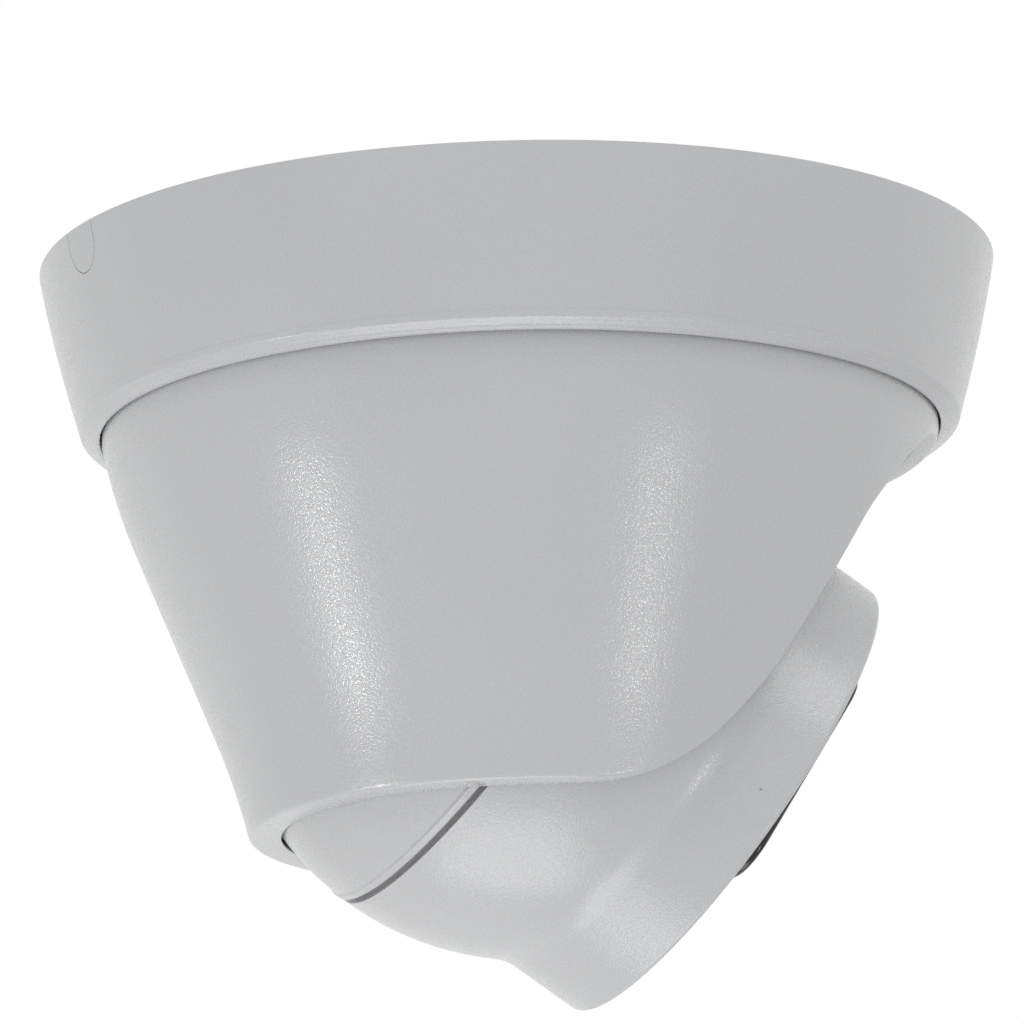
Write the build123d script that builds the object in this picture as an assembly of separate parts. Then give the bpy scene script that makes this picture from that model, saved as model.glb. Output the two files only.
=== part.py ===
from build123d import *

import os
from math import cos, radians, sin, sqrt

# Turret security camera that hangs from a ceiling, in millimetres.
# z = 0 is the ceiling face and the part hangs below it; the lens looks towards -Y.
# Bodies: base (fixed), cradle (pans about Z), yoke (tilts about X), ball (rolls about the lens axis).

# ---- driving dimensions -------------------------------------------------------------------------
WALL = 3.0  # wall of the castings
RUN_GAP = 0.3  # gap between faces that turn past each other
RUN_FIT = 0.05  # radial clearance of a running fit

# base housing: a shallow tapered ring
BASE_R_TOP = 76.65  # outer radius at the ceiling
BASE_R_MID = 73.65  # outer radius 14 mm below the ceiling
BASE_MID_Z = -14.0
BASE_R_LOW = 70.66  # outer radius where the lower edge starts to turn in
BASE_LOW_Z = -24.9
BASE_BOTTOM_Z = -27.1
BASE_LIP_R = 67.8  # radius of the opening at the bottom
BASE_IN_TOP = (73.4, 0.0)  # radius, height of the inner wall at the ceiling
BASE_IN_LOW = (69.7, -16.0)  # and at its foot
LEDGE_Z = -24.5  # top of the inner ledge that carries the cradle
PLATE_R = 64.0
PLATE_T = 2.5
TAB_ANGLES = (0, 120, 240)  # bayonet tabs of the mounting plate
SCREW_PCD = 104.0  # ceiling screws
SCREW_HOLE_R = 2.4
SCREW_ANGLES = (30, 150, 270)
INLET_Y = 26.0  # cable inlet in the mounting plate
INLET_R = 3.75
KNOCKOUT_W = 9.4  # side cable entry at the rear
KNOCKOUT_DEPTH = 7.4
KNOCKOUT_TURN = 5.5  # degrees from +Y towards -X
GASKET_R = (75.7, 74.3)  # ceiling gasket in its groove
GASKET_T = 1.2
CLIP_R = 70.3  # retaining ring that holds the cradle up
CLIP_TOP = -19.1
CLIP_LOW = -21.1
LEDGE_R = 69.4
GLIDE_T = 0.8
LOCK_R = 1.5  # locking screw in the side
LOCK_Z = -4.3
INLET_SEAT_R = 9.0

# cradle: a tapered shell with a spherical socket and an arched front slot
FLANGE_R = 69.0
FLANGE_IN_R = 61.5
FLANGE_TOP = -21.4
FLANGE_BOTTOM = -23.4
NECK_R = 66.9
NECK_Z = -28.0
CONE_TOP = (61.8, -45.0)  # radius, height where the straight cone starts
CONE_LOW = (49.7, -75.0)  # radius, height where the straight cone ends
LIP_R = 44.3
LIP_Z = -92.3
SLOT_HALF_LOW = 43.5  # half width of the front slot at its foot
SLOT_HALF_TOP = 46.1
SLOT_TOP_Z = -29.2
SLOT_CORNER_R = 20.5
SLOT_BACK_Y = 3.0  # how far back the slot reaches under the ball
SLOT_BACK_R = 14.0  # its corner radius there, seen from below
SWEEP_R = 46.0  # side-view curve that leads the lip up into the slot edge
SWEEP_ANGLE = 40.0
SWEEP_START_Y = 11.5
SLOT_BLEND_R = 4.0  # blend between that curve and the slot's cheeks
EDGE_R = 0.6  # rounding of the cradle's free edges

# ball
BALL_Z = -63.4  # height of the ball centre
BALL_R = 48.0
SOCKET_GAP = 1.2  # between the ball and its socket
LENS_TILT = 32.7  # lens axis below the horizontal, in the rest pose
SHELL_T = 2.5
SEAM_REAR = -1.9  # rear shell ends here, along the lens axis from the ball centre
SEAM_FRONT = -0.9  # front shell starts here
SNOUT_R = 40.9
SNOUT_FACE = 39.8
SNOUT_FILLET = 9.0
SNOUT_RIM = 0.8
POLE_FLAT = -46.6  # recess round the roll hub in the rear shell
POLE_FLAT_R = 8.6
HUB_R = 6.5
HUB_BORE_R = 4.2
HUB_SPIGOT_R = 5.15
HUB_SEAT = 47.8  # the hub rests on the yoke this far behind the ball centre
HUB_END = 49.4
SHELL_SCREW_AT = 25.8  # x and y of the four shell screws

# yoke
YOKE_OUT = 50.1
YOKE_IN = 48.6
YOKE_W = 10.0
YOKE_BOSS_R = 8.0  # boss that carries the roll hub, kept inside the socket outside the strip
SOCKET_STEP_Z = -69.5  # above this the cradle leaves room for the yoke
EAR_R = 5.5
PIN_R = 2.5
PIN_END_X = 52.4  # bottom of the blind holes that carry the pins
BOSS_X = 50.9  # inner face of the pivot bosses of the cradle

# window and what lies behind it, along the lens axis
WINDOW_W = 62.0
WINDOW_H = 39.0
WINDOW_CORNER = 6.0
WINDOW_PROUD = 2.4
FACE_T = 3.0  # thickness of the front wall of the ball
CHASSIS_TOP = 24.0
CHASSIS_BOTTOM = 22.0
POST_XY = (12.0, 26.0)  # posts that carry the chassis plate
STANDOFF_XY = (27.0, 14.0)
LED_X = 20.0
MAIN_TOP = -8.4
BOARD_T = 1.6

BASE_ALIGN = (Align.CENTER, Align.CENTER, Align.MIN)

# the ball's own frame: origin at its centre, z along the lens axis, x as the row's X, y up
BALL = Plane(
    origin=(0, 0, BALL_Z),
    x_dir=(1, 0, 0),
    z_dir=(0, -cos(radians(LENS_TILT)), -sin(radians(LENS_TILT))),
).location


# ---- shared shapes ------------------------------------------------------------------------------
def disc(radius, low, high):
    """Upright cylinder on the Z axis between two heights."""
    return Pos(0, 0, low) * Cylinder(radius, high - low, align=BASE_ALIGN)


def tube(outer, inner, low, high):
    """Upright ring on the Z axis between two heights."""
    return disc(outer, low, high) - disc(inner, low - 1, high + 1)


def rod_x(radius, x_low, x_high, z=0.0):
    """Cylinder along X between two x values."""
    return Pos(x_low, 0, z) * Rot(0, 90, 0) * Cylinder(radius, x_high - x_low, align=BASE_ALIGN)


def plate(width, depth, low, high, corner=0.0):
    """Flat rectangular plate centred on the Z axis, with rounded corners where asked."""
    outline = RectangleRounded(width, depth, corner) if corner else Rectangle(width, depth)
    return Pos(0, 0, low) * extrude(outline, high - low)


def turned(outline):
    """Solid of revolution about Z; the outline is drawn as (radius, height)."""
    return revolve(Plane.XZ * make_face(outline), Axis.Z, 360)


def sector(r_in, r_out, low, high, angle, width):
    """Part of a ring, centred on an angle in degrees."""
    section = Pos((r_in + r_out) / 2, (low + high) / 2) * Rectangle(r_out - r_in, high - low)
    return Rot(0, 0, angle - width / 2) * revolve(Plane.XZ * section, Axis.Z, width)


def corners(x, y):
    """The four points (+-x, +-y), numbered round from the first quadrant."""
    return [(x, y), (-x, y), (-x, -y), (x, -y)]


def sphere_z(radius, r):
    """Height of a sphere of this radius at distance r from its axis."""
    return sqrt(radius**2 - r**2)


# ---- base ---------------------------------------------------------------------------------------
def housing_outside():
    """Outer form of the base: barrelled taper and a rounded lower edge, filled to the axis."""
    side = ThreePointArc((BASE_R_TOP, 0), (BASE_R_MID, BASE_MID_Z), (BASE_R_LOW, BASE_LOW_Z))
    edge = TangentArc((BASE_R_LOW, BASE_LOW_Z), (BASE_LIP_R, BASE_BOTTOM_Z), tangent=side % 1)
    rest = Polyline((BASE_LIP_R, BASE_BOTTOM_Z), (0, BASE_BOTTOM_Z), (0, 0), (BASE_R_TOP, 0))
    return turned(side + edge + rest)


def housing_inside():
    """Hollow of the base, with the ledge for the cradle and the groove of the retaining ring."""
    outline = Polyline(
        (0, 1),
        (BASE_IN_TOP[0], 1),
        BASE_IN_TOP,
        BASE_IN_LOW,
        (BASE_IN_LOW[0], CLIP_TOP),
        (CLIP_R + 0.1, CLIP_TOP),
        (CLIP_R + 0.1, CLIP_LOW),
        (LEDGE_R, CLIP_LOW),
        (LEDGE_R, LEDGE_Z),
        (BASE_LIP_R, LEDGE_Z),
        (BASE_LIP_R, BASE_BOTTOM_Z - 1),
        (0, BASE_BOTTOM_Z - 1),
        close=True,
    )
    return turned(outline)


def knockout_cutter(width, depth):
    """U-shaped prism through the rear wall, open at the ceiling."""
    u_shape = Pos(0, -(depth - width / 2) / 2 + 1) * Rectangle(width, depth - width / 2 + 2)
    u_shape += Pos(0, -(depth - width / 2)) * Circle(width / 2)
    return Rot(0, 0, KNOCKOUT_TURN) * Pos(0, 50, 0) * extrude(Plane.XZ * u_shape, -40)


def base_pieces():
    """Fixed pieces that stay on the ceiling."""
    wall = housing_outside() - housing_inside() - tube(*GASKET_R, -GASKET_T, 1)
    housing = wall - knockout_cutter(KNOCKOUT_W, KNOCKOUT_DEPTH)
    for angle in TAB_ANGLES:
        housing += sector(64.5, 74.0, -3.2, -1.2, angle, 24)
    housing -= rod_x(LOCK_R, 69, 80, LOCK_Z)

    plug = wall & knockout_cutter(KNOCKOUT_W - 0.24, KNOCKOUT_DEPTH - 0.12)
    inward = (BASE_IN_LOW[0] - 1.5, BASE_IN_LOW[1]), (BASE_IN_TOP[0] - 1.5, BASE_IN_TOP[1])
    lining = turned(Polyline(BASE_IN_TOP, BASE_IN_LOW, *inward, close=True))
    plug += lining & knockout_cutter(KNOCKOUT_W + 3, KNOCKOUT_DEPTH + 1.5) & disc(80, -12, -1.3)

    base_plate = disc(PLATE_R, -PLATE_T, 0) + tube(40, 37, -PLATE_T - 1, -PLATE_T)
    for angle in TAB_ANGLES:
        base_plate += sector(60, 64, -5.4, -PLATE_T, angle, 20)
        base_plate += sector(60, 70, -5.4, -3.2, angle, 20)
    for angle in SCREW_ANGLES:
        base_plate -= Rot(0, 0, angle) * Pos(SCREW_PCD / 2, 0, 0) * Cylinder(SCREW_HOLE_R, 20)
    base_plate -= Pos(0, INLET_Y, 0) * Cylinder(INLET_SEAT_R, 20)

    grommet = tube(INLET_SEAT_R, INLET_R, -PLATE_T, 0) + tube(10.5, INLET_R, -PLATE_T - 1.6, -PLATE_T)
    lock_screw = rod_x(LOCK_R, 70, 75.4, LOCK_Z)
    lock_screw -= Pos(74.5, 0, LOCK_Z) * Rot(0, 90, 0) * extrude(RegularPolygon(0.85, 6), 3, both=True)

    clip = tube(CLIP_R, 64.2, CLIP_LOW, CLIP_TOP) - sector(60, 72, -22, -18, 45, 4)
    clip += sector(61.8, 64.4, CLIP_LOW, CLIP_TOP, 90, 2.1)
    for angle in (40, 50):
        clip -= Rot(0, 0, angle) * Pos(67, 0, -20) * Cylinder(0.9, 5)

    return {
        "mounting_plate": base_plate,
        "cable_grommet": Pos(0, INLET_Y, 0) * grommet,
        "base_housing": housing,
        "base_gasket": tube(*GASKET_R, -GASKET_T, 0),
        "knockout_plug": plug,
        "base_lock_screw": lock_screw,
        "pan_glide_ring": tube(69.3, 67.9, LEDGE_Z, LEDGE_Z + GLIDE_T),
        "pan_retaining_ring": clip,
    }


# ---- cradle -------------------------------------------------------------------------------------
def cradle_outside():
    """Outer form: flange, neck, and a cone that eases in at the top and flares at the lip."""
    slope = Vector(CONE_LOW[0] - CONE_TOP[0], CONE_LOW[1] - CONE_TOP[1])
    shoulder = TangentArc(CONE_TOP, (NECK_R, NECK_Z), tangent=slope * -1)
    flare = TangentArc(CONE_LOW, (LIP_R, LIP_Z), tangent=slope)
    top = Polyline(
        (LIP_R, LIP_Z),
        (0, LIP_Z),
        (0, FLANGE_TOP),
        (FLANGE_R, FLANGE_TOP),
        (FLANGE_R, FLANGE_BOTTOM),
        (NECK_R, FLANGE_BOTTOM),
        (NECK_R, NECK_Z),
    )
    return turned(shoulder + Line(CONE_TOP, CONE_LOW) + flare + top)


def cradle_inside():
    """Hollow: even wall above, room for the yoke at pivot height, spherical socket below."""
    yoke_room = YOKE_OUT + RUN_GAP
    socket = BALL_R + SOCKET_GAP
    top_z = -66.0
    upper = Polyline(
        (sphere_z(yoke_room, top_z - BALL_Z), top_z),
        (CONE_TOP[0] - WALL, CONE_TOP[1]),
        (63.4, -31.0),
        (63.4, FLANGE_BOTTOM),
        (FLANGE_IN_R, FLANGE_BOTTOM),
        (FLANGE_IN_R, FLANGE_TOP + 1),
        (0, FLANGE_TOP + 1),
        (0, LIP_Z - 1),
        (sphere_z(socket, LIP_Z - 1 - BALL_Z), LIP_Z - 1),
    )
    low_arc = ThreePointArc(
        (sphere_z(socket, LIP_Z - 1 - BALL_Z), LIP_Z - 1),
        (sphere_z(socket, -80 - BALL_Z), -80),
        (sphere_z(socket, SOCKET_STEP_Z - BALL_Z), SOCKET_STEP_Z),
    )
    step = Line(
        (sphere_z(socket, SOCKET_STEP_Z - BALL_Z), SOCKET_STEP_Z),
        (sphere_z(yoke_room, SOCKET_STEP_Z - BALL_Z), SOCKET_STEP_Z),
    )
    high_arc = ThreePointArc(
        (sphere_z(yoke_room, SOCKET_STEP_Z - BALL_Z), SOCKET_STEP_Z),
        (sphere_z(yoke_room, -67.5 - BALL_Z), -67.5),
        (sphere_z(yoke_room, top_z - BALL_Z), top_z),
    )
    return turned(upper + low_arc + step + high_arc)


def slot_cutter():
    """Arched front slot with a rounded back, blended into the side-view sweep of the lip."""
    arch = Polygon(
        (-SLOT_HALF_LOW, LIP_Z - 5),
        (SLOT_HALF_LOW, LIP_Z - 5),
        (SLOT_HALF_TOP, SLOT_TOP_Z),
        (-SLOT_HALF_TOP, SLOT_TOP_Z),
        align=None,
    )
    arch = fillet(arch.vertices().sort_by(Axis.Y)[2:], SLOT_CORNER_R)
    front = Pos(0, SLOT_BACK_Y, 0) * extrude(Plane.XZ * arch, 90)
    back_edges = front.faces().sort_by(Axis.Y)[-1].edges().filter_by(GeomType.LINE)
    uprights = [edge for edge in back_edges if edge.bounding_box().size.Z > 10]
    front = fillet(uprights, SLOT_BACK_R)

    start = (SWEEP_START_Y, LIP_Z)
    end = (
        SWEEP_START_Y - SWEEP_R * sin(radians(SWEEP_ANGLE)),
        LIP_Z + SWEEP_R * (1 - cos(radians(SWEEP_ANGLE))),
    )
    run = 30.0
    far = (end[0] - run * cos(radians(SWEEP_ANGLE)), end[1] + run * sin(radians(SWEEP_ANGLE)))
    sweep = TangentArc(start, end, tangent=(-1, 0))
    sweep += Polyline(end, far, (far[0], LIP_Z - 5), (SWEEP_START_Y, LIP_Z - 5), start)
    cutter = front + extrude(Plane.YZ * make_face(sweep), 60, both=True)

    meeting = []
    for edge in cutter.edges():
        extent = edge.bounding_box()
        if LIP_Z + RUN_GAP < extent.min.Z and extent.max.Z < -55 and extent.size.Y > 2:
            if abs((edge @ 0.5).X) < 50:
                meeting.append(edge)
    return fillet(meeting, SLOT_BLEND_R)


def free_edges(cradle, outside):
    """Outer edges of the slot, the sweep and the lip: curved edges that lie on the outer skin."""
    skin = outside.faces()
    found = []
    for edge in cradle.edges():
        middle = edge @ 0.5
        level = edge.geom_type == GeomType.CIRCLE and middle.Z > LIP_Z + RUN_GAP
        if edge.geom_type == GeomType.LINE or level:
            continue
        ends = [Vertex(*(edge @ 0.2)), Vertex(*middle)]
        if all(min(face.distance_to(end) for face in skin) < 0.01 for end in ends):
            found.append(edge)
    return found


def pan_pieces():
    """Cradle and the two pivot pins pressed into it."""
    outside = cradle_outside()
    cradle = outside - cradle_inside()
    for side in (1, -1):
        boss = rod_x(7.5, BOSS_X, 60, BALL_Z)
        cradle += (boss if side == 1 else mirror(boss, Plane.YZ)) & outside
    for side in (1, -1):
        room = rod_x(6.3, 44, BOSS_X, BALL_Z) + rod_x(PIN_R, 44, PIN_END_X, BALL_Z)
        cradle -= room if side == 1 else mirror(room, Plane.YZ)
    cradle -= slot_cutter()
    cradle = fillet(free_edges(cradle, outside), EDGE_R)
    cradle += sector(61.8, 63.3, FLANGE_TOP, FLANGE_TOP + 2, 270, 2.1)

    pin = rod_x(PIN_R, 48.7, PIN_END_X, BALL_Z)
    return {
        "cradle": cradle,
        "pivot_pin_left": mirror(pin, Plane.YZ),
        "pivot_pin_right": pin,
    }


# ---- yoke ---------------------------------------------------------------------------------------
def yoke_pieces():
    """Thin strip round the back of the ball, its ears, and the hub that the ball rolls on."""
    strip = Sphere(YOKE_OUT) - Sphere(YOKE_IN)
    strip &= Pos(0, 0, -YOKE_OUT / 2) * Box(120, YOKE_W, YOKE_OUT)
    ear = rod_x(EAR_R, 48.5, YOKE_OUT) + mirror(rod_x(EAR_R, 48.5, YOKE_OUT), Plane.YZ)
    boss = disc(YOKE_BOSS_R, -HUB_END, -HUB_SEAT) & Sphere(BALL_R + SOCKET_GAP - RUN_GAP)
    yoke = strip + ear + boss
    yoke -= rod_x(PIN_R + RUN_FIT, -60, 60)
    yoke -= disc(HUB_SPIGOT_R, -60, -40)

    hub = disc(HUB_SPIGOT_R, -HUB_END, -HUB_SEAT) + disc(YOKE_BOSS_R, -HUB_SEAT, -46.9)
    hub += disc(HUB_R, -46.9, -39.2)
    nut = Pos(0, 0, -42.7) * extrude(RegularPolygon(9.5, 6), 3) - disc(HUB_R, -60, 0)
    washer = rod_x(EAR_R, YOKE_OUT, YOKE_OUT + 0.5) - rod_x(PIN_R + RUN_FIT, 0, 60)
    return {
        "tilt_yoke": BALL * yoke,
        "roll_hub": BALL * (hub - disc(HUB_BORE_R, -60, 0)),
        "roll_nut": BALL * nut,
        "friction_washer_left": BALL * mirror(washer, Plane.YZ),
        "friction_washer_right": BALL * washer,
    }


# ---- ball ---------------------------------------------------------------------------------------
def rear_shell():
    """Back half of the ball, with its recessed pole, roll bearing and screw bosses."""
    inner = BALL_R - SHELL_T
    edge_r = BALL_R + 0.15
    skin = ThreePointArc(
        (POLE_FLAT_R, -sphere_z(BALL_R, POLE_FLAT_R)),
        (BALL_R * sin(radians(50)), -BALL_R * cos(radians(50))),
        (sphere_z(BALL_R, 3.4), -3.4),
    )
    lip = Polyline(
        (sphere_z(BALL_R, 3.4), -3.4),
        (edge_r, -3.0),
        (edge_r, -2.1),
        (edge_r - 0.2, SEAM_REAR),
        (sphere_z(inner, SEAM_REAR), SEAM_REAR),
    )
    lining = ThreePointArc(
        (sphere_z(inner, SEAM_REAR), SEAM_REAR),
        (inner * sin(radians(50)), -inner * cos(radians(50))),
        (11.0, -sphere_z(inner, 11.0)),
    )
    pole = Polyline(
        (11.0, -sphere_z(inner, 11.0)),
        (11.0, -43.0),
        (HUB_R + RUN_FIT, -43.0),
        (HUB_R + RUN_FIT, POLE_FLAT),
        (POLE_FLAT_R, POLE_FLAT),
        (POLE_FLAT_R, -sphere_z(BALL_R, POLE_FLAT_R)),
    )
    shell = turned(skin + lip + lining + pole)
    for x, y in corners(SHELL_SCREW_AT, SHELL_SCREW_AT):
        shell += Pos(x, y, 0) * disc(4.4, -40, SEAM_REAR) & Sphere(BALL_R - 1)
    for x, y in corners(SHELL_SCREW_AT, SHELL_SCREW_AT):
        shell -= Pos(x, y, 0) * (disc(1.5, -40, 0) + disc(3.0, -45, -24.0))
    return shell


def front_shell():
    """Front half of the ball: sphere, concave fillet, snout and flat face with the window cut-out."""
    inner = BALL_R - SHELL_T
    centre_z = sqrt((BALL_R + SNOUT_FILLET) ** 2 - (SNOUT_R + SNOUT_FILLET) ** 2)
    centre_r = SNOUT_R + SNOUT_FILLET
    share = BALL_R / (BALL_R + SNOUT_FILLET)
    meet = (centre_r * share, centre_z * share)
    half = BALL_R * sin(radians(76)), BALL_R * cos(radians(76))
    skin = ThreePointArc((sphere_z(BALL_R, SEAM_FRONT), SEAM_FRONT), half, meet)
    neck = TangentArc(meet, (SNOUT_R, centre_z), tangent=skin % 1)
    rim = TangentArc(
        (SNOUT_R, SNOUT_FACE - SNOUT_RIM), (SNOUT_R - SNOUT_RIM, SNOUT_FACE), tangent=(0, 1)
    )
    side = Line((SNOUT_R, centre_z), (SNOUT_R, SNOUT_FACE - SNOUT_RIM))
    inside = Polyline(
        (SNOUT_R - SNOUT_RIM, SNOUT_FACE),
        (0, SNOUT_FACE),
        (0, SNOUT_FACE - FACE_T),
        (38.3, SNOUT_FACE - FACE_T),
        (38.3, 28.0),
        (41.0, sphere_z(inner, 41.0)),
    )
    lining = ThreePointArc(
        (41.0, sphere_z(inner, 41.0)),
        (sphere_z(inner, 9.0), 9.0),
        (sphere_z(inner, SEAM_FRONT), SEAM_FRONT),
    )
    seam = Line((sphere_z(inner, SEAM_FRONT), SEAM_FRONT), (sphere_z(BALL_R, SEAM_FRONT), SEAM_FRONT))
    shell = turned(skin + neck + side + rim + inside + lining + seam)
    for x, y in corners(SHELL_SCREW_AT, SHELL_SCREW_AT):
        shell += Pos(x, y, 0) * disc(3.6, SEAM_FRONT, 31.0)
        shell -= Pos(x, y, 0) * disc(1.5, SEAM_FRONT - 1, 12.0)
    for x, y in corners(*POST_XY):
        shell += Pos(x, y, 0) * disc(2.4, CHASSIS_TOP, SNOUT_FACE - FACE_T)
        shell -= Pos(x, y, 0) * disc(1.1, CHASSIS_TOP - 1, CHASSIS_TOP + 7)
    shell -= plate(WINDOW_W + 0.2, WINDOW_H + 0.2, 30, 50, WINDOW_CORNER + 0.1)
    return shell


def window_pieces():
    """Black frame that stands proud of the face, its gasket, the glass and the printed mask."""
    wall_back = SNOUT_FACE - FACE_T
    front = SNOUT_FACE + WINDOW_PROUD
    frame = plate(WINDOW_W, WINDOW_H, wall_back - 2, front, WINDOW_CORNER)
    frame = fillet(frame.faces().sort_by(Axis.Z)[-1].edges(), 0.8)
    frame += plate(WINDOW_W + 4, WINDOW_H + 4, wall_back - 2, wall_back - 0.5, WINDOW_CORNER + 2)
    frame -= plate(54, 31, 20, 50, 3)
    frame -= plate(57, 34, front - 2.2, 50, 4)
    gasket = plate(WINDOW_W + 4, WINDOW_H + 4, wall_back - 0.5, wall_back, WINDOW_CORNER + 2)
    gasket -= plate(WINDOW_W, WINDOW_H, 30, 50, WINDOW_CORNER)
    mask = plate(53.8, 30.8, front - 2.8, front - 2.2, 2.9) - disc(9.6, 30, 50)
    for side in (1, -1):
        mask -= Pos(side * LED_X, 0, 0) * disc(5.8, 30, 50)
    return {
        "window_frame": frame,
        "window_gasket": gasket,
        "window_glass": plate(57, 34, front - 2.2, front - 0.2, 4),
        "window_mask": mask,
    }


def lens_pieces():
    """Lens barrel in its mount, the front element, the light shield and the sensor behind."""
    mount = plate(28, 28, 5.6, CHASSIS_BOTTOM, 2) - disc(9, 0, 30) - disc(12, 12, 30)
    barrel = turned(
        Polyline(
            (9.4, 12.0),
            (12.0, 12.0),
            (12.0, 26.0),
            (10.4, 26.0),
            (10.4, 33.0),
            (9.2, 33.0),
            (9.2, 38.2),
            (8.4, 38.2),
            (7.2, 35.2),
            (7.2, 34.0),
            (9.4, 30.0),
            close=True,
        )
    )
    dome = TangentArc((0, 37.4), (7.2, 35.2), tangent=(1, 0))
    element = turned(dome + Polyline((7.2, 35.2), (7.2, 34.0), (0, 34.0), (0, 37.4)))
    shield = tube(11.4, 9.2, 36.4, SNOUT_FACE + WINDOW_PROUD - 2.8)
    return {
        "lens_mount": mount,
        "lens_barrel": barrel,
        "lens_front_element": element,
        "lens_light_shield": shield,
        "sensor_board": plate(30, 30, 4.0, 5.6, 1),
        "image_sensor": plate(12, 10, 5.6, 7.2),
    }


def lamp_pieces():
    """Infrared lamps either side of the lens: board, emitter and collimating optic."""
    pieces = {}
    for name, side in (("right", 1), ("left", -1)):
        place = Pos(side * LED_X, 0, 0)
        pieces["infrared_board_" + name] = place * plate(14, 28, CHASSIS_TOP, 25.6, 1)
        pieces["infrared_emitter_" + name] = place * plate(5, 5, 25.6, 27.0)
        cone = Pos(0, 0, 27.0) * Cone(3.6, 5.6, 11.0, align=BASE_ALIGN)
        pieces["infrared_optic_" + name] = place * cone
    return pieces


def board_pieces():
    """Chassis plate, main board on standoffs, processor, heat sink and cable socket."""
    main_low = MAIN_TOP - BOARD_T
    chassis = plate(64, 40, CHASSIS_BOTTOM, CHASSIS_TOP, 4)
    chassis += plate(34, 60, CHASSIS_BOTTOM, CHASSIS_TOP, 4)
    chassis -= disc(12, 0, 50)
    board = plate(60, 36, main_low, MAIN_TOP, 2)
    sink = plate(24, 24, -13.4, main_low - 1.4)
    for row in range(7):
        sink += Pos(-10.8 + 3.6 * row, 0, -19.4) * Box(1.2, 24, 6, align=BASE_ALIGN)
    pieces = {}
    for number, (x, y) in enumerate(corners(*STANDOFF_XY), 1):
        post = disc(2.2, MAIN_TOP, CHASSIS_BOTTOM) - disc(1.1, MAIN_TOP - 1, MAIN_TOP + 5)
        screw = disc(2.0, main_low - 1.6, main_low) + disc(1.1, main_low, MAIN_TOP + 4)
        board -= Pos(x, y, 0) * disc(1.1, main_low - 1, MAIN_TOP + 1)
        pieces[f"board_standoff_{number}"] = Pos(x, y, 0) * post
        pieces[f"board_screw_{number}"] = Pos(x, y, 0) * screw
    for number, (x, y) in enumerate(corners(*POST_XY), 1):
        screw = disc(2.0, CHASSIS_BOTTOM - 1.6, CHASSIS_BOTTOM)
        screw += disc(1.1, CHASSIS_BOTTOM, CHASSIS_TOP + 6)
        chassis -= Pos(x, y, 0) * disc(1.1, 20, 30)
        pieces[f"chassis_screw_{number}"] = Pos(x, y, 0) * screw
    pieces["chassis_plate"] = chassis
    pieces["main_board"] = board
    pieces["main_processor"] = plate(14, 14, main_low - 1.4, main_low)
    pieces["heat_sink"] = sink
    pieces["cable_socket"] = Pos(0, 15.2, 0) * plate(14, 5, main_low - 5, main_low)
    return pieces


def ball_pieces():
    """Everything that turns with the ball, in the ball's own frame."""
    pieces = {
        "ball_rear_shell": rear_shell(),
        "ball_front_shell": front_shell(),
        "seam_gasket": tube(47.0, 45.8, SEAM_REAR, SEAM_FRONT),
    }
    screw = disc(2.8, -26.4, -24.0) + disc(1.5, -24.0, 10.0)
    for number, (x, y) in enumerate(corners(SHELL_SCREW_AT, SHELL_SCREW_AT), 1):
        pieces[f"shell_screw_{number}"] = Pos(x, y, 0) * screw
    pieces.update(window_pieces())
    pieces.update(lens_pieces())
    pieces.update(lamp_pieces())
    pieces.update(board_pieces())
    return {name: BALL * shape for name, shape in pieces.items()}


# ---- output -------------------------------------------------------------------------------------
os.makedirs("parts", exist_ok=True)
for group in (base_pieces(), pan_pieces(), yoke_pieces(), ball_pieces()):
    for node, shape in group.items():
        export_step(shape, f"parts/{node}.step")
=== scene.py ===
import math

import bpy
import numpy as np
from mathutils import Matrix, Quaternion, Vector


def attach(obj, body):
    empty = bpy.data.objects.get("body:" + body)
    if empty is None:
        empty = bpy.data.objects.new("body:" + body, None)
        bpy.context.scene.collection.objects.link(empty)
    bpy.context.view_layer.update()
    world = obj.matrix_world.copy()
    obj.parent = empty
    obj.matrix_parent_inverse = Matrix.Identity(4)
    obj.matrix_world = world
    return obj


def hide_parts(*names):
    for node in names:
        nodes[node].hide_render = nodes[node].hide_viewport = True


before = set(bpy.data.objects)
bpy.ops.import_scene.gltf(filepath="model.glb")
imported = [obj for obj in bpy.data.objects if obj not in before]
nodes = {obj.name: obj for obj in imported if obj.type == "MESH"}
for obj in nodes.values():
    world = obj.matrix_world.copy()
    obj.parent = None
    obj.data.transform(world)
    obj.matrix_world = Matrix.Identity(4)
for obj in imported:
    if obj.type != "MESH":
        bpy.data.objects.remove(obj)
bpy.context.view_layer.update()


# ---- room, lamps and camera ---------------------------------------------------------------
# The object hangs in an empty pale room, a ceiling's height above a plain floor. Two tall
# soft lamps stand left and right of the viewer, lower than the object; a wide one shines up
# from under it, and two more fill in from above, one on each side. Lengths are in metres.
CENTRE = Vector((0.0, 0.0, -0.060))
FLOOR_DEPTH, FLOOR_R, FLOOR_CORNERS = 2.4, 9.0, 96
FLOOR_TONE, FLOOR_GLOW = 0.86, 0.8
VIEW_AZIMUTH, VIEW_ELEVATION, VIEW_DISTANCE = 249.1, -12.69, 1.265
VIEW_ROLL = -1.29
AIM_UP, AIM_LEFT = 0.01996, 0.00204
LENS_LENGTH, SENSOR_WIDTH = 279.4, 36.0
AMBIENT = 0.51


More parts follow.
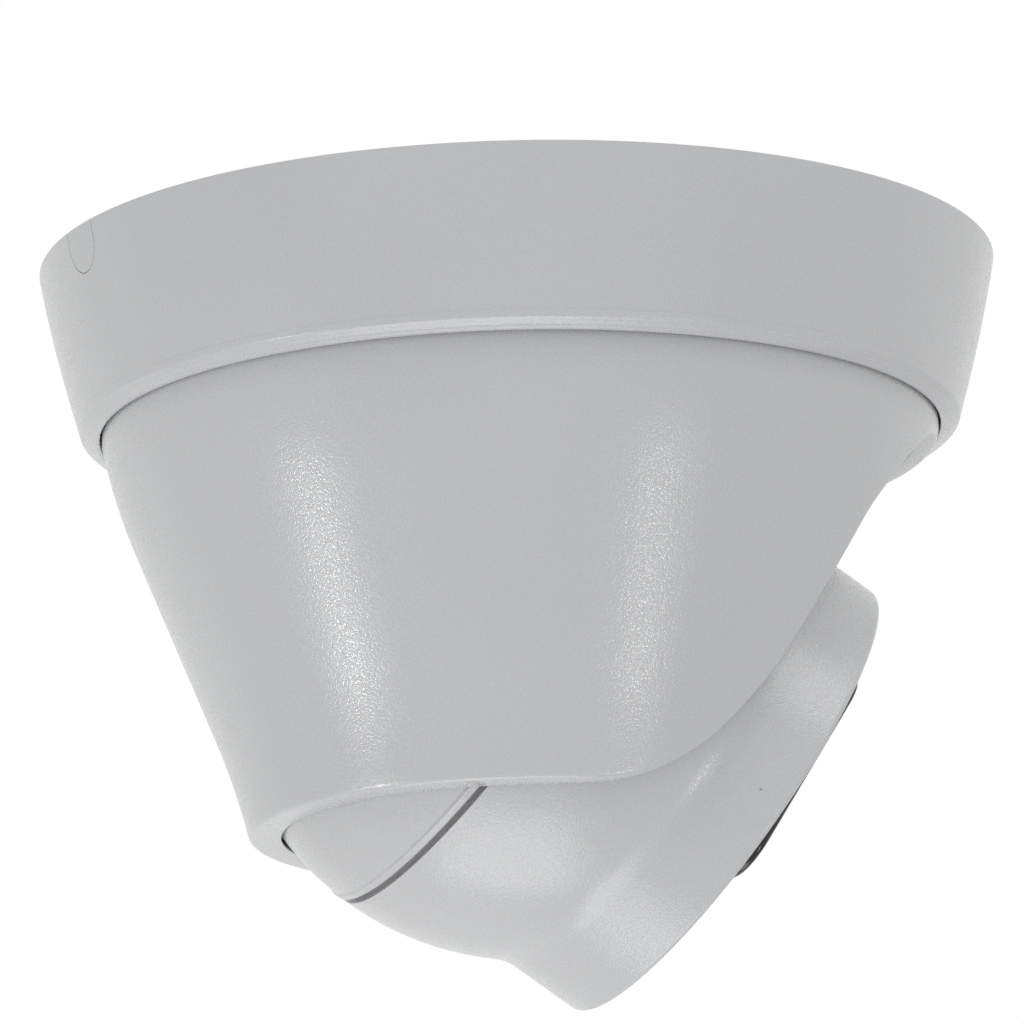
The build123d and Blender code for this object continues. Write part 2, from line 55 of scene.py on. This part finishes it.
class Wire:
    """One output socket of a node tree, so that shader maths reads as plain sums."""

    def __init__(self, tree, socket=None):
        self.tree = tree
        self.socket = socket

    def node(self, kind, settings=(), inputs=(), out=0):
        """Adds a node: its settings first, then the value or the link of each socket."""
        made = self.tree.nodes.new(kind)
        for name, value in dict(settings).items():
            if name == "stops":
                elements = made.color_ramp.elements
                for place, _ in value[2:]:
                    elements.new(place)
                for element, (place, colour) in zip(elements, value):
                    element.position = place
                    element.color = (*colour, 1.0)
            else:
                setattr(made, name, value)
        for name, value in dict(inputs).items():
            if isinstance(value, Wire):
                self.tree.links.new(value.socket, made.inputs[name])
            else:
                made.inputs[name].default_value = value
        return Wire(self.tree, made.outputs[out] if made.outputs else None)

    def beside(self, name):
        """Another output of the node that this wire comes from."""
        return Wire(self.tree, self.socket.node.outputs[name])

    def math(self, operation, a, b):
        return self.node("ShaderNodeMath", {"operation": operation}, {0: a, 1: b})

    def __add__(self, other):
        return self.math("ADD", self, other)

    __radd__ = __add__

    def __mul__(self, other):
        return self.math("MULTIPLY", self, other)

    __rmul__ = __mul__

    def __lt__(self, other):
        return self.math("LESS_THAN", self, other)

    def __gt__(self, other):
        return self.math("GREATER_THAN", self, other)

    def blend(self, low, high):
        """Colour that goes from low to high as this wire goes from 0 to 1."""
        sockets = {0: self, 6: low, 7: high}
        return self.node("ShaderNodeMix", {"data_type": "RGBA"}, sockets, out=2)

    def step(self, low, high):
        """0 below low, 1 above high, and an even rise between them."""
        sockets = {0: self, 1: low, 2: high}
        return self.node("ShaderNodeMapRange", {"clamp": True}, sockets)


def seen(wire):
    """1 where a ray comes from the viewer, a mirror surface or glass, and 0 for light itself."""
    viewer = wire.node("ShaderNodeLightPath", out="Is Camera Ray")
    mirrored, through = viewer.beside("Is Glossy Ray"), viewer.beside("Is Transmission Ray")
    return wire.math("MINIMUM", viewer + mirrored + through, 1.0)


def around(azimuth, elevation, distance):
    """Point at a distance from the middle of the object; azimuth 0 is in front of the lens."""
    a, e = math.radians(azimuth), math.radians(elevation)
    out = Vector((math.sin(a) * math.cos(e), -math.cos(a) * math.cos(e), math.sin(e)))
    return CENTRE + out * distance


world = bpy.data.worlds.new("pale_room")
bpy.context.scene.world = world
world.use_nodes = True
world.node_tree.nodes.clear()
sky = Wire(world.node_tree)
level = seen(sky) * (1.0 - AMBIENT) + AMBIENT
glow = sky.node("ShaderNodeBackground", {}, {"Color": (1, 1, 1, 1), "Strength": level})
sky.node("ShaderNodeOutputWorld", {}, {"Surface": glow})

paper = bpy.data.materials.new("pale_floor")
paper.use_nodes = True
paper.node_tree.nodes.clear()
sheet = Wire(paper.node_tree)
lit = sheet.node("ShaderNodeBsdfDiffuse", {}, {"Color": (*[FLOOR_TONE] * 3, 1)})
white = sheet.node("ShaderNodeEmission", {}, {"Color": (1, 1, 1, 1), "Strength": 1.0})
shown = {0: seen(sheet) * FLOOR_GLOW, 1: lit, 2: white}
either = sheet.node("ShaderNodeMixShader", {}, shown)
sheet.node("ShaderNodeOutputMaterial", {}, {"Surface": either})

angle = np.linspace(0, 2 * np.pi, FLOOR_CORNERS, endpoint=False)
depth = np.full(FLOOR_CORNERS, -FLOOR_DEPTH)
outline = np.stack([FLOOR_R * np.cos(angle), FLOOR_R * np.sin(angle), depth], axis=1)
floor_mesh = bpy.data.meshes.new("floor")
floor_mesh.from_pydata(outline.tolist(), [], [list(range(FLOOR_CORNERS))])
floor = bpy.data.objects.new("floor", floor_mesh)
floor.data.materials.append(paper)
bpy.context.scene.collection.objects.link(floor)

# Each lamp's direction in degrees, its distance and size in metres, and its power in watts.
for name, azimuth, elevation, distance, wide, tall, power in (
    ("lamp_left", VIEW_AZIMUTH - 66, -30, 0.9, 0.08, 0.30, 1.55),
    ("lamp_right", VIEW_AZIMUTH + 43, -31, 0.9, 0.07, 0.24, 0.78),
    ("lamp_below", VIEW_AZIMUTH - 90, -84, 0.9, 0.60, 0.60, 3.10),
    ("lamp_above_left", VIEW_AZIMUTH - 34, 35, 1.6, 1.00, 1.00, 5.80),
    ("lamp_above_right", VIEW_AZIMUTH + 50, 35, 1.6, 1.00, 1.00, 8.60),
):
    lamp = bpy.data.objects.new(name, bpy.data.lights.new(name, "AREA"))
    lamp.data.shape = "RECTANGLE"
    lamp.data.size = wide
    lamp.data.size_y = tall
    lamp.data.energy = power
    lamp.location = around(azimuth, elevation, distance)
    lamp.rotation_mode = "QUATERNION"
    lamp.rotation_quaternion = (CENTRE - lamp.location).to_track_quat("-Z", "Y")
    lamp.visible_camera = False
    bpy.context.scene.collection.objects.link(lamp)

eye = bpy.data.objects.new("eye", bpy.data.cameras.new("eye"))
bpy.context.scene.collection.objects.link(eye)
bpy.context.scene.camera = eye
eye.data.sensor_width = SENSOR_WIDTH
eye.data.lens = LENS_LENGTH
eye.data.clip_start = 0.05
eye.data.clip_end = 50.0
eye.location = around(VIEW_AZIMUTH, VIEW_ELEVATION, VIEW_DISTANCE)
roll = Quaternion((0, 0, 1), math.radians(VIEW_ROLL))
straight = (CENTRE - eye.location).to_track_quat("-Z", "Y") @ roll
target = CENTRE + straight @ Vector((-AIM_LEFT, AIM_UP, 0))
eye.rotation_mode = "QUATERNION"
eye.rotation_quaternion = (target - eye.location).to_track_quat("-Z", "Y") @ roll
bpy.context.scene.view_settings.view_transform = "Standard"


# ---- painted castings ---------------------------------------------------------------------
# Base ring, cradle and both halves of the ball are die-cast aluminium with a light grey
# powder coat. The coat has a fine even grain and sparkles where a lamp grazes it.
PAINT, PAINT_DUST = (0.521, 0.525, 0.534), (0.16, 0.16, 0.16)
GRIT_CELLS, PEEL_CELLS, CLOUD_CELLS, DUST_CELLS = 2600.0, 780.0, 38.0, 46.0
COAT_SMOOTHEST, COAT_DULLING, COAT_RELIEF = 0.14, 0.22, 0.00006


def finish_of(name):
    """New material with one shader in it: the material, a wire to build on, and the shader."""
    made = bpy.data.materials.new(name)
    made.use_nodes = True
    made.node_tree.nodes.clear()
    wire = Wire(made.node_tree)
    shader = wire.node("ShaderNodeBsdfPrincipled")
    wire.node("ShaderNodeOutputMaterial", {}, {"Surface": shader})
    return made, wire, shader.socket.node


def set_shader(wire, shader, **values):
    """Puts a number, a colour or a wire into each named socket of a shader."""
    for name, value in values.items():
        socket = shader.inputs[name.replace("_", " ")]
        if isinstance(value, Wire):
            wire.tree.links.new(value.socket, socket)
        else:
            socket.default_value = value


def own_place(wire):
    """Place in the object's own axes, in metres."""
    return wire.node("ShaderNodeTexCoord", out="Object")


def grain(wire, scale, detail=2.0, rough=0.5, place=None):
    """Soft random field from 0 to 1; scale is in cells to the metre."""
    where = place or own_place(wire)
    sockets = {"Vector": where, "Scale": scale, "Detail": detail, "Roughness": rough}
    return wire.node("ShaderNodeTexNoise", {}, sockets)


def specks(wire, scale, size, share):
    """1 inside sparse round dots: cells to the metre, radius in cells, share of the cells."""
    cells = wire.node("ShaderNodeTexVoronoi", {}, {"Vector": own_place(wire), "Scale": scale})
    chance = wire.node("ShaderNodeSeparateColor", {}, {0: cells.beside("Color")})
    return (cells < size) * (chance < share)


def bumped(wire, height, depth):
    """Normal of a surface whose height varies; a height of 1 stands for depth in metres."""
    sockets = {"Height": height, "Distance": depth, "Strength": 1.0}
    return wire.node("ShaderNodeBump", {}, sockets)


def coat(name, tone):
    """Fine-textured powder coat: mottled tone, a few dust specks, and a two-scale grain.

    Its gloss rises and falls with the finer grain, so that a lamp shows in it as sparkle.
    """
    made, wire, shader = finish_of(name)
    grit = grain(wire, GRIT_CELLS, detail=1.0)
    peel = grain(wire, PEEL_CELLS, detail=1.0)
    cloud = grain(wire, CLOUD_CELLS, detail=3.0)
    mottle = cloud.step(0.3, 0.7) * 0.85 + grit.step(0.3, 0.7) * 0.15
    dark = tuple(v * 0.975 for v in tone)
    body = mottle.blend((*dark, 1.0), (*tone, 1.0))
    dust = specks(wire, DUST_CELLS, size=0.014, share=0.5) * 0.55
    set_shader(
        wire,
        shader,
        Base_Color=dust.blend(body, (*PAINT_DUST, 1.0)),
        Roughness=grit.step(0.36, 0.64) * COAT_DULLING + COAT_SMOOTHEST,
        Normal=bumped(wire, grit * 0.75 + peel * 0.25, COAT_RELIEF),
    )
    return made


powder_coat = coat("powder_coat", PAINT)


def dress(material, *names):
    """Gives the pieces of these names a material."""
    for name in names:
        slots = nodes[name].material_slots
        if not slots:
            nodes[name].data.materials.append(material)
        for part in nodes[name].material_slots:
            part.material = material


dress(powder_coat, "base_housing", "knockout_plug", "cradle")
dress(powder_coat, "ball_rear_shell", "ball_front_shell")


# ---- cradle -------------------------------------------------------------------------------
# The casting that pans: a flange and neck inside the base ring, a cone that flares at the
# lip, and an arched front slot whose cheeks sweep down and back into the lip in one full
# curve. It is cast in one piece, and the ball turns in a socket inside it.

# Radius and height of the outside where its run changes, then the flange, in millimetres.
NECK, CONE_TOP, CONE_FOOT, LIP = (66.9, -28.0), (61.8, -45.0), (49.7, -75.0), (44.3, -92.0)
FLANGE_OUT, FLANGE_IN, FLANGE_TOP, FLANGE_UNDER = 69.0, 61.5, -21.4, -23.4
CRADLE_COLUMNS, OUTSIDE_ROWS, INSIDE_ROWS, EDGE_SEARCH_ROWS = 960, 30, 24, 900

# The socket is a sphere round the ball that tightens at its foot, with room for the yoke
# above, then an even wall up to the throat under the flange.
BALL_HEIGHT, SOCKET_TOP = -63.4, -69.5
SOCKET_CLOSING, SOCKET_RADII = (-84.0, -76.0), (48.45, 49.2)
YOKE_ROOM_R, YOKE_ROOM_TOP, YOKE_ROOM_TOP_R = 50.4, -66.0, 50.33
WALL, THROAT_R, THROAT_FOOT = 3.0, 63.4, -31.0
SNOUT_ROOM_R, SNOUT_LOWEST, SNOUT_CLEARING = 41.9, math.radians(75.0), 1.1

# The slot has its half widths at three heights, and the sweep below it a radius and a rise.
SLOT_TOP, SLOT_CORNER, SLOT_BACK, SLOT_BACK_CORNER = -29.2, 20.5, 3.0, 14.0
SLOT_HEIGHTS, SLOT_HALF_WIDTHS = (-97.0, -60.0, SLOT_TOP), (42.4, 45.0, 46.0)
SWEEP_START, SWEEP_R, SWEEP_RISE, CHEEK_BLEND = 6.9, 35.4, math.radians(40.0), 3.0
OUTER_EDGE_R, INNER_EDGE_R = 0.8, 0.3
SHARP_ANGLE = math.radians(38)


def arc_radius(z, start, slope, end):
    """Radius at height z on the arc that leaves start along slope and passes through end."""
    run = math.hypot(*slope)
    across = (-slope[1] / run, slope[0] / run)
    chord = (end[0] - start[0], end[1] - start[1])
    r = (chord[0] ** 2 + chord[1] ** 2) / (2 * (chord[0] * across[0] + chord[1] * across[1]))
    middle = (start[0] + across[0] * r, start[1] + across[1] * r)
    side = 1 if start[0] > middle[0] else -1
    return middle[0] + side * np.sqrt(np.maximum(r * r - (z - middle[1]) ** 2, 0.0))


def outer_radius(z, turn):
    """Neck, then an arc, the straight cone, and the arc that flares to the lip, at any turn."""
    slope = (CONE_FOOT[0] - CONE_TOP[0], CONE_FOOT[1] - CONE_TOP[1])
    shoulder = arc_radius(z, CONE_TOP, (-slope[0], -slope[1]), NECK)
    cone = CONE_TOP[0] + (z - CONE_TOP[1]) * slope[0] / slope[1]
    flare = arc_radius(z, CONE_FOOT, slope, LIP)
    skin = np.where(z > CONE_TOP[1], shoulder, np.where(z > CONE_FOOT[1], cone, flare))
    return np.where(z > NECK[1], NECK[0], skin)


def inner_radius(z, turn):
    """Socket sphere closing on the ball at its foot, a roomier one above, then an even wall.

    Where the snout swings lowest, the socket keeps outside a cylinder round its axis.
    """
    height = z - BALL_HEIGHT
    close = np.interp(z, SOCKET_CLOSING, SOCKET_RADII)
    socket = np.sqrt(np.maximum(close ** 2 - height ** 2, 0.0))
    roomy = np.sqrt(np.maximum(YOKE_ROOM_R ** 2 - height ** 2, 0.0))
    wall = np.interp(
        z,
        (YOKE_ROOM_TOP, CONE_TOP[1], THROAT_FOOT),
        (YOKE_ROOM_TOP_R, CONE_TOP[0] - WALL, THROAT_R),
    )
    along = socket * np.cos(turn) * math.cos(SNOUT_LOWEST) - height * math.sin(SNOUT_LOWEST)
    off_axis = np.sqrt(np.maximum(socket ** 2 + height ** 2 - along ** 2, 0.0))
    clearing = np.maximum(SNOUT_ROOM_R - off_axis, 0.0) * SNOUT_CLEARING
    socket = socket + np.where(along > 0, clearing, 0.0)
    return np.where(z < SOCKET_TOP, socket, np.where(z < YOKE_ROOM_TOP, roomy, wall))


def rounded_corner(a, b, r):
    """Signed distance to two faces that meet in an arc of radius r, from those to each face."""
    a, b = a + r, b + r
    outside = np.hypot(np.maximum(a, 0), np.maximum(b, 0))
    return outside + np.minimum(np.maximum(a, b), 0) - r


def casting_left(x, y, z):
    """Distance by which a point clears the front slot and the swept foot; below 0 it is cut away.

    The slot is a box with rounded corners in front view and in plan, a little narrower at its
    foot. The sweep is level behind, follows an arc in front of that, and goes on straight. The
    two are joined by a smooth minimum, which rounds the corner of each cheek.
    """
    half = np.interp(z, SLOT_HEIGHTS, SLOT_HALF_WIDTHS)
    arch = rounded_corner(np.abs(x) - half, z - SLOT_TOP, SLOT_CORNER)
    slot = rounded_corner(arch, y - SLOT_BACK, SLOT_BACK_CORNER)
    ahead, below = SWEEP_START - y, LIP[1] + SWEEP_R - z
    angle = np.clip(np.arctan2(ahead, below), 0.0, SWEEP_RISE)
    sweep = SWEEP_R - ahead * np.sin(angle) - below * np.cos(angle)
    near = np.maximum(CHEEK_BLEND - np.abs(slot - sweep), 0.0) / CHEEK_BLEND
    return np.minimum(slot, sweep) - near * near * CHEEK_BLEND / 4


def free_edge(turn, radius):
    """Height at which the wall ends on a skin of revolution, for each angle from the front.

    It lies between the last row that is cast and the first that is cut away, by even parts.
    """
    z = np.linspace(FLANGE_UNDER - 1.0, LIP[1] - 0.5, EDGE_SEARCH_ROWS)[:, None]
    r = radius(z, turn)
    left = casting_left(r * np.sin(turn), -r * np.cos(turn), z)
    first = np.argmax(left < 0, axis=0)
    columns = np.arange(len(turn))
    a, b = left[first - 1, columns], left[first, columns]
    return z[first - 1, 0] + (z[first, 0] - z[first - 1, 0]) * a / (a - b)


def toward(a, b, reach, share=1.0):
    """Point that lies reach away from a on the line to b, at most the share of the way."""
    gap = np.linalg.norm(b - a, axis=-1, keepdims=True)
    return a + (b - a) / gap * np.minimum(reach, gap * share)


def rounded(a, corner, b, steps):
    """Quadratic curve from a to b that bends at the corner; a, corner and b are (r, z) rows."""
    t = np.linspace(0.0, 1.0, steps)[:, None, None]
    return (1 - t) ** 2 * a + 2 * t * (1 - t) * corner + t ** 2 * b


def ring(r, z, columns):
    """One (r, z) row that is the same all the way round."""
    return np.broadcast_to(np.array([r, z]), (1, columns, 2))


def carried_round(name, turn, section):
    """Closed piece from rows of (r, z) carried round the pan axis, in millimetres.

    A column is the section at one turn from the front, and the grid meets itself both ways.
    """
    r, z = section[..., 0], section[..., 1]
    points = np.stack([r * np.sin(turn), -r * np.cos(turn), z], axis=-1)
    index = np.arange(r.size).reshape(r.shape)
    right, down = np.roll(index, -1, axis=1), np.roll(index, -1, axis=0)
    quads = np.stack([index, right, np.roll(right, -1, axis=0), down], axis=-1).reshape(-1, 4)
    mesh = bpy.data.meshes.new(name)
    mesh.from_pydata((points.reshape(-1, 3) / 1000.0).tolist(), [], quads.tolist())
    mesh.polygons.foreach_set("use_smooth", np.ones(len(quads), dtype=bool))
    mesh.set_sharp_from_angle(angle=SHARP_ANGLE)
    piece = bpy.data.objects.new(name, mesh)
    bpy.context.scene.collection.objects.link(piece)
    return piece


def cradle_casting():
    """Section from the flange down the neck and outer skin, round the free edge, up inside."""
    turn = np.linspace(0.0, 2 * np.pi, CRADLE_COLUMNS, endpoint=False)
    outer_end, inner_end = free_edge(turn, outer_radius), free_edge(turn, inner_radius)
    corner = np.stack([outer_radius(outer_end, turn), outer_end], axis=-1)
    inside = np.stack([inner_radius(inner_end, turn), inner_end], axis=-1)
    out_edge = toward(corner, inside, OUTER_EDGE_R, share=0.45)
    in_edge = toward(inside, corner, INNER_EDGE_R, share=0.3)

    def skin(radius, start, end, rows):
        z = start + (end - start) * np.linspace(0.0, 1.0, rows)[:, None]
        return np.stack([radius(z, turn), z], axis=-1)

    outside = skin(outer_radius, NECK[1], outer_end + OUTER_EDGE_R, OUTSIDE_ROWS)
    within = skin(inner_radius, inner_end + INNER_EDGE_R, FLANGE_UNDER - 0.3, INSIDE_ROWS)
    section = np.concatenate([
        ring(FLANGE_IN, FLANGE_TOP, CRADLE_COLUMNS),
        ring(FLANGE_OUT, FLANGE_TOP, CRADLE_COLUMNS),
        ring(FLANGE_OUT, FLANGE_UNDER, CRADLE_COLUMNS),
        ring(NECK[0], FLANGE_UNDER, CRADLE_COLUMNS),
        outside,
        rounded(outside[-1], corner, out_edge, 6)[1:],
        rounded(in_edge, inside, within[0], 4),
        within[1:],
        ring(THROAT_R, FLANGE_UNDER, CRADLE_COLUMNS),
        ring(FLANGE_IN, FLANGE_UNDER, CRADLE_COLUMNS),
    ])
    return carried_round("cradle_casting", turn, section)


casting = cradle_casting()
casting.data.materials.append(powder_coat)
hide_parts("cradle")
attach(casting, "pan_cradle")


# ---- lower rim of the base ----------------------------------------------------------------
# The base ring ends in a crisp chamfer that faces down, and its lip stands close round the
# neck of the cradle, so that only a hair of shadow shows between them. It is cast with the
# ring, and its lower corners are eased a little.

# Radius and height of its corners, its inner side, and how far a corner is eased: millimetres.
RIM_TOP, RIM_CORNER, RIM_FOOT = np.array([(70.69, -24.85), (70.40, -25.95), (67.95, -27.30)])
RIM_LIP_R, RIM_LIP_TOP, RIM_BACK_TOP_R, RIM_BACK_R = 67.25, -26.3, 69.8, 68.6
EDGE_EASE, CHAMFER_EASE, RIM_COLUMNS = 0.25, 0.3, 720


def base_rim():
    """Section down the chamfer to the lip and back up inside, its lower corners rounded."""
    turn = np.linspace(0.0, 2 * np.pi, RIM_COLUMNS, endpoint=False)

    def eased(before, corner, after, reach):
        points = toward(corner, before, reach), corner, toward(corner, after, reach)
        return rounded(*(np.broadcast_to(p, (RIM_COLUMNS, 2)) for p in points), 5)

    lip_foot, lip_top = np.array([(RIM_LIP_R, RIM_FOOT[1]), (RIM_LIP_R, RIM_LIP_TOP)])
    section = np.concatenate([
        ring(RIM_BACK_TOP_R, RIM_TOP[1], RIM_COLUMNS),
        ring(*RIM_TOP, RIM_COLUMNS),
        eased(RIM_TOP, RIM_CORNER, RIM_FOOT, EDGE_EASE),
        eased(RIM_CORNER, RIM_FOOT, lip_foot, CHAMFER_EASE),
        eased(RIM_FOOT, lip_foot, lip_top, EDGE_EASE),
        ring(*lip_top, RIM_COLUMNS),
        ring(RIM_BACK_R, RIM_LIP_TOP, RIM_COLUMNS),
    ])
    return carried_round("base_rim", turn, section)


rim_piece = base_rim()
rim_piece.data.materials.append(powder_coat)
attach(rim_piece, "base")


# ---- metal pieces -------------------------------------------------------------------------
# The mounting plate, chassis and heat sink are bare aluminium; the yoke, its pins, the
# retaining ring and all screws are zinc-plated steel; the board standoffs are turned brass.
def metal(name, tone, dull, scratch, depth):
    """Bare metal: cloudy tone, rolled scratches along one way and a slight pitting.

    Scratch is in cells to the metre across them, and depth in metres.
    """
    made, wire, shader = finish_of(name)
    sockets = {"Vector": own_place(wire), "Scale": (1.0, 0.04, 1.0)}
    lines = grain(wire, scratch, 4.0, 0.65, wire.node("ShaderNodeMapping", {}, sockets))
    cloud, pits = grain(wire, 60.0, detail=3.0), grain(wire, 1500.0)
    dark = tuple(v * 0.82 for v in tone)
    set_shader(
        wire,
        shader,
        Base_Color=(cloud * 0.6 + lines * 0.4).step(0.3, 0.7).blend((*dark, 1.0), (*tone, 1.0)),
        Metallic=1.0,
        Roughness=lines.step(0.3, 0.7) * 0.16 + dull,
        Normal=bumped(wire, lines * 0.7 + pits * 0.3, depth),
    )
    return made


aluminium = metal(
    "bare_aluminium", tone=(0.68, 0.69, 0.70), dull=0.34, scratch=1800.0, depth=0.000012
)
zinc = metal(
    "zinc_plated_steel", tone=(0.56, 0.57, 0.58), dull=0.28, scratch=2600.0, depth=0.000008
)
brass = metal("turned_brass", tone=(0.72, 0.52, 0.24), dull=0.22, scratch=3000.0, depth=0.000008)
dress(aluminium, "mounting_plate", "chassis_plate", "heat_sink")
dress(zinc, "base_lock_screw", "pan_retaining_ring", "pivot_pin_left", "pivot_pin_right")
dress(zinc, "tilt_yoke", "roll_hub", "roll_nut", "friction_washer_left", "friction_washer_right")
for kind in ("shell_screw", "board_screw", "chassis_screw"):
    dress(zinc, *[f"{kind}_{i}" for i in range(1, 5)])
dress(brass, *[f"board_standoff_{i}" for i in range(1, 5)])


# ---- rubber and moulded plastic -----------------------------------------------------------
# Gaskets, cable grommet and the light shield of the lens are black rubber with the dusty
# bloom of new rubber. The gasket in the seam of the ball is painted mid grey to stand in for
# the shade of the groove between the two halves. The ring that the cradle glides on is white
# plastic; the window's frame and mask and the lens body are black plastic.
def moulded(name, tone, pale, dull, scale, depth):
    """Moulded rubber or plastic: a fine spark-eroded grain and a faint cloudy bloom.

    Pale is the tone of the bloom; scale is in cells to the metre, and depth in metres.
    """
    made, wire, shader = finish_of(name)
    bloom = grain(wire, 90.0, detail=4.0, rough=0.6).step(0.42, 0.75)
    skin = grain(wire, scale, detail=3.0, rough=0.55)
    set_shader(
        wire,
        shader,
        Base_Color=bloom.blend((*tone, 1.0), (*pale, 1.0)),
        Roughness=skin.step(0.3, 0.7) * 0.12 + dull,
        Normal=bumped(wire, skin, depth),
    )
    return made


rubber = moulded(
    "black_rubber", tone=(0.012, 0.012, 0.013), pale=(0.030, 0.030, 0.031),
    dull=0.62, scale=1900.0, depth=0.00003,
)
glide = moulded(
    "white_glide_plastic", tone=(0.74, 0.74, 0.71), pale=(0.80, 0.80, 0.77),
    dull=0.36, scale=1400.0, depth=0.00001,
)
matte_black = moulded(
    "matte_black_plastic", tone=(0.010, 0.010, 0.011), pale=(0.019, 0.019, 0.020),
    dull=0.55, scale=1700.0, depth=0.00002,
)
gloss_black = moulded(
    "gloss_black_plastic", tone=(0.006, 0.006, 0.007), pale=(0.009, 0.009, 0.010),
    dull=0.10, scale=500.0, depth=0.000003,
)
# Painted shade: the seam gasket gets the grey of the shaded groove between the two halves of the
# ball.
painted_groove_shade = moulded(
    "painted_groove_shade", tone=(0.27, 0.27, 0.28), pale=(0.32, 0.32, 0.33),
    dull=0.55, scale=1900.0, depth=0.00002,
)
dress(painted_groove_shade, "seam_gasket")
dress(rubber, "cable_grommet", "base_gasket", "window_gasket", "lens_light_shield")
dress(glide, "pan_glide_ring")
dress(matte_black, "lens_mount", "lens_barrel", "cable_socket", "main_processor")
dress(gloss_black, "window_frame", "window_mask")


# ---- glass --------------------------------------------------------------------------------
# The window is one smoked flat pane bonded into the frame. The lens has a domed front
# element with a faint violet and green coating, and each lamp has a clear moulded cone.
def glass(name, tone, dull, ior):
    """Clear body with a few fingerprint-soft patches in its polish."""
    made, wire, shader = finish_of(name)
    smear = grain(wire, 120.0, detail=4.0, rough=0.6).step(0.5, 0.9)
    set_shader(
        wire,
        shader,
        Base_Color=(*tone, 1.0),
        Transmission_Weight=1.0,
        IOR=ior,
        Roughness=smear * 0.05 + dull,
        Normal=bumped(wire, grain(wire, 70.0), 0.000004),
    )
    return made


smoked = glass("smoked_window", tone=(0.42, 0.43, 0.45), dull=0.0, ior=1.49)
clear = glass("clear_optic", tone=(0.90, 0.92, 0.94), dull=0.02, ior=1.53)
dress(smoked, "window_glass")
dress(clear, "infrared_optic_left", "infrared_optic_right")


def coated_element():
    """Dark front element: near-black body under a thin coat that drifts from violet to green."""
    violet, green = (0.020, 0.010, 0.050), (0.010, 0.045, 0.025)
    made, wire, shader = finish_of("coated_lens")
    drift = grain(wire, 150.0).step(0.2, 0.8)
    stops = {"stops": [(0.0, violet), (1.0, green)]}
    set_shader(
        wire,
        shader,
        Base_Color=wire.node("ShaderNodeValToRGB", stops, {0: drift}),
        Roughness=grain(wire, 90.0).step(0.4, 0.9) * 0.03 + 0.02,
        Coat_Weight=1.0,
        Coat_Roughness=0.02,
        IOR=1.7,
    )
    return made


dress(coated_element(), "lens_front_element")


# ---- circuit boards, lamps and sensor -----------------------------------------------------
# Boards are green solder mask over copper, with small tinned pads strewn over it. The
# emitters are square and wax-yellow, and the sensor is a dark rectangle that glints faintly.
def board_finish():
    """Green solder mask: darker between the tracks, with small tinned pads strewn over it."""
    dark, green, tin = (0.010, 0.085, 0.045), (0.016, 0.135, 0.070), (0.66, 0.66, 0.64)
    made, wire, shader = finish_of("solder_mask")
    tracks = grain(wire, 420.0, detail=1.0).step(0.48, 0.52)
    pads = specks(wire, 520.0, size=0.22, share=0.22)
    mask = tracks.blend((*dark, 1.0), (*green, 1.0))
    set_shader(
        wire,
        shader,
        Base_Color=pads.blend(mask, (*tin, 1.0)),
        Metallic=pads * 0.9,
        Roughness=pads * 0.1 + 0.28,
        Normal=bumped(wire, tracks * 0.4 + pads * 0.6, 0.00004),
    )
    return made


dress(board_finish(), "main_board", "sensor_board", "infrared_board_left", "infrared_board_right")
emitter_wax = moulded(
    "emitter_wax", tone=(0.62, 0.52, 0.20), pale=(0.74, 0.66, 0.34),
    dull=0.22, scale=900.0, depth=0.00001,
)
sensor_die = moulded(
    "sensor_die", tone=(0.020, 0.024, 0.040), pale=(0.030, 0.040, 0.060),
    dull=0.12, scale=600.0, depth=0.000004,
)
dress(emitter_wax, "infrared_emitter_left", "infrared_emitter_right")
dress(sensor_die, "image_sensor")
